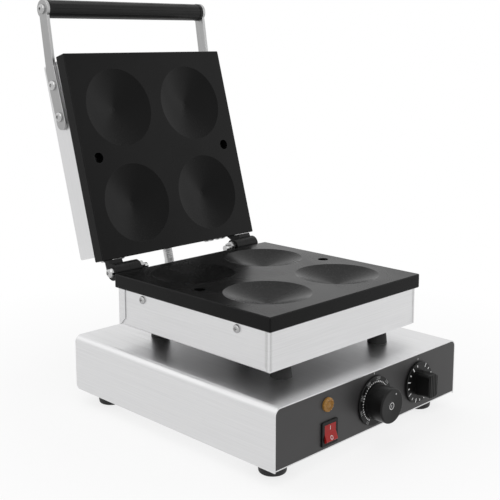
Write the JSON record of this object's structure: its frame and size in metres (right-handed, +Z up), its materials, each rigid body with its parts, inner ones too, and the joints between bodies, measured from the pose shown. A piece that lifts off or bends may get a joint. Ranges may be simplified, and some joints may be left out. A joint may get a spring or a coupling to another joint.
{
  "type": "pancake maker",
  "caption": "Countertop pancake maker: a steel base with a control panel carries a square lower mould plate, and a hinged lid with a matching plate and a bar handle closes over it.",
  "frame": {"origin": "on the floor under the middle of the box round the part with its lid open", "axes": "X from left to right along the front, Y from front to back, Z up"},
  "size_m": [0.305, 0.4466, 0.474],
  "materials": {
    "stainless": "fine brushed stainless sheet",
    "non_stick": "black non-stick coating on cast aluminium",
    "panel_black": "satin black",
    "hinge_black": "black painted steel",
    "screw_steel": "bright zinc plated",
    "bright_bolt": "polished",
    "element_steel": "dull sheathed tube",
    "mineral_wool": "fibrous",
    "rubber_black": "matte",
    "knob_black": "fine grained",
    "control_body": "plain moulded",
    "porcelain": "unglazed",
    "copper_tube": "drawn tube",
    "rocker_red": "translucent red",
    "lamp_amber": "translucent amber"
  },
  "bodies": {
    "base": {"base_shell": "stainless", "base_bottom_plate": "stainless", "base_rear_panel": "stainless", "lower_housing": "stainless", "lower_housing_back": "stainless", "lower_mould_plate": "non_stick", "control_panel": "panel_black", "left_hinge_lower_leaf": "hinge_black", "right_hinge_lower_leaf": "hinge_black", "base_screws": "screw_steel", "base_feet_screws": "screw_steel", "control_screws": "screw_steel", "standoff_bolts": "screw_steel", "standoff_nuts": "screw_steel", "lower_housing_screws": "screw_steel", "lower_plate_screws": "screw_steel", "lower_clamp_screws": "screw_steel", "lower_leaf_screws": "screw_steel", "hinge_nuts": "screw_steel", "lower_element_clamps": "screw_steel", "conduit": "screw_steel", "conduit_lower_fitting": "screw_steel", "hinge_bolts": "bright_bolt", "lower_heating_element": "element_steel", "lower_insulation": "mineral_wool", "base_feet": "rubber_black", "housing_standoffs": "rubber_black", "wiring_sleeve": "rubber_black", "rocker_switch_body": "knob_black", "cable_gland": "knob_black", "cable_gland_nut": "knob_black", "thermostat_body": "control_body", "timer_body": "control_body", "pilot_lamp_body": "control_body", "terminal_block": "porcelain", "thermostat_sensor": "copper_tube", "pilot_lamp_lens": "lamp_amber"},
    "lid": {"lid_housing": "stainless", "handle_arm_left": "stainless", "handle_arm_right": "stainless", "lid_mould_plate": "non_stick", "left_hinge_upper_leaf": "hinge_black", "right_hinge_upper_leaf": "hinge_black", "lid_plate_screws": "screw_steel", "lid_clamp_screws": "screw_steel", "upper_leaf_screws": "screw_steel", "handle_arm_nuts": "screw_steel", "handle_rod": "screw_steel", "lid_element_clamps": "screw_steel", "conduit_upper_fitting": "screw_steel", "handle_arm_bolts": "bright_bolt", "handle_end_bolts": "bright_bolt", "lid_heating_element": "element_steel", "lid_insulation": "mineral_wool", "handle_grip": "knob_black"},
    "rocker_key": {"rocker": "rocker_red"},
    "thermostat_dial": {"thermostat_knob": "knob_black", "thermostat_shaft": "screw_steel"},
    "timer_dial": {"timer_knob": "knob_black", "timer_shaft": "screw_steel"}
  },
  "joints": [
    {"name": "lid_hinge", "type": "hinge", "parent": "base", "child": "lid", "pos_m": [0, 0.09916, 0.1565], "axis": [1, 0, 0], "range_deg": [0, 105.9], "deforming": ["conduit"]},
    {"name": "rocker_pivot", "type": "hinge", "parent": "base", "child": "rocker_key", "pos_m": [-0.073, -0.19634, 0.035], "axis": [1, 0, 0], "range_deg": [0, 22]},
    {"name": "thermostat_turn", "type": "hinge", "parent": "base", "child": "thermostat_dial", "pos_m": [0, -0.19884, 0.0489], "axis": [0, 1, 0], "range_deg": [0, 290]},
    {"name": "timer_turn", "type": "hinge", "parent": "base", "child": "timer_dial", "pos_m": [0.079, -0.19884, 0.0489], "axis": [0, 1, 0], "range_deg": [0, 300]}
  ]
}
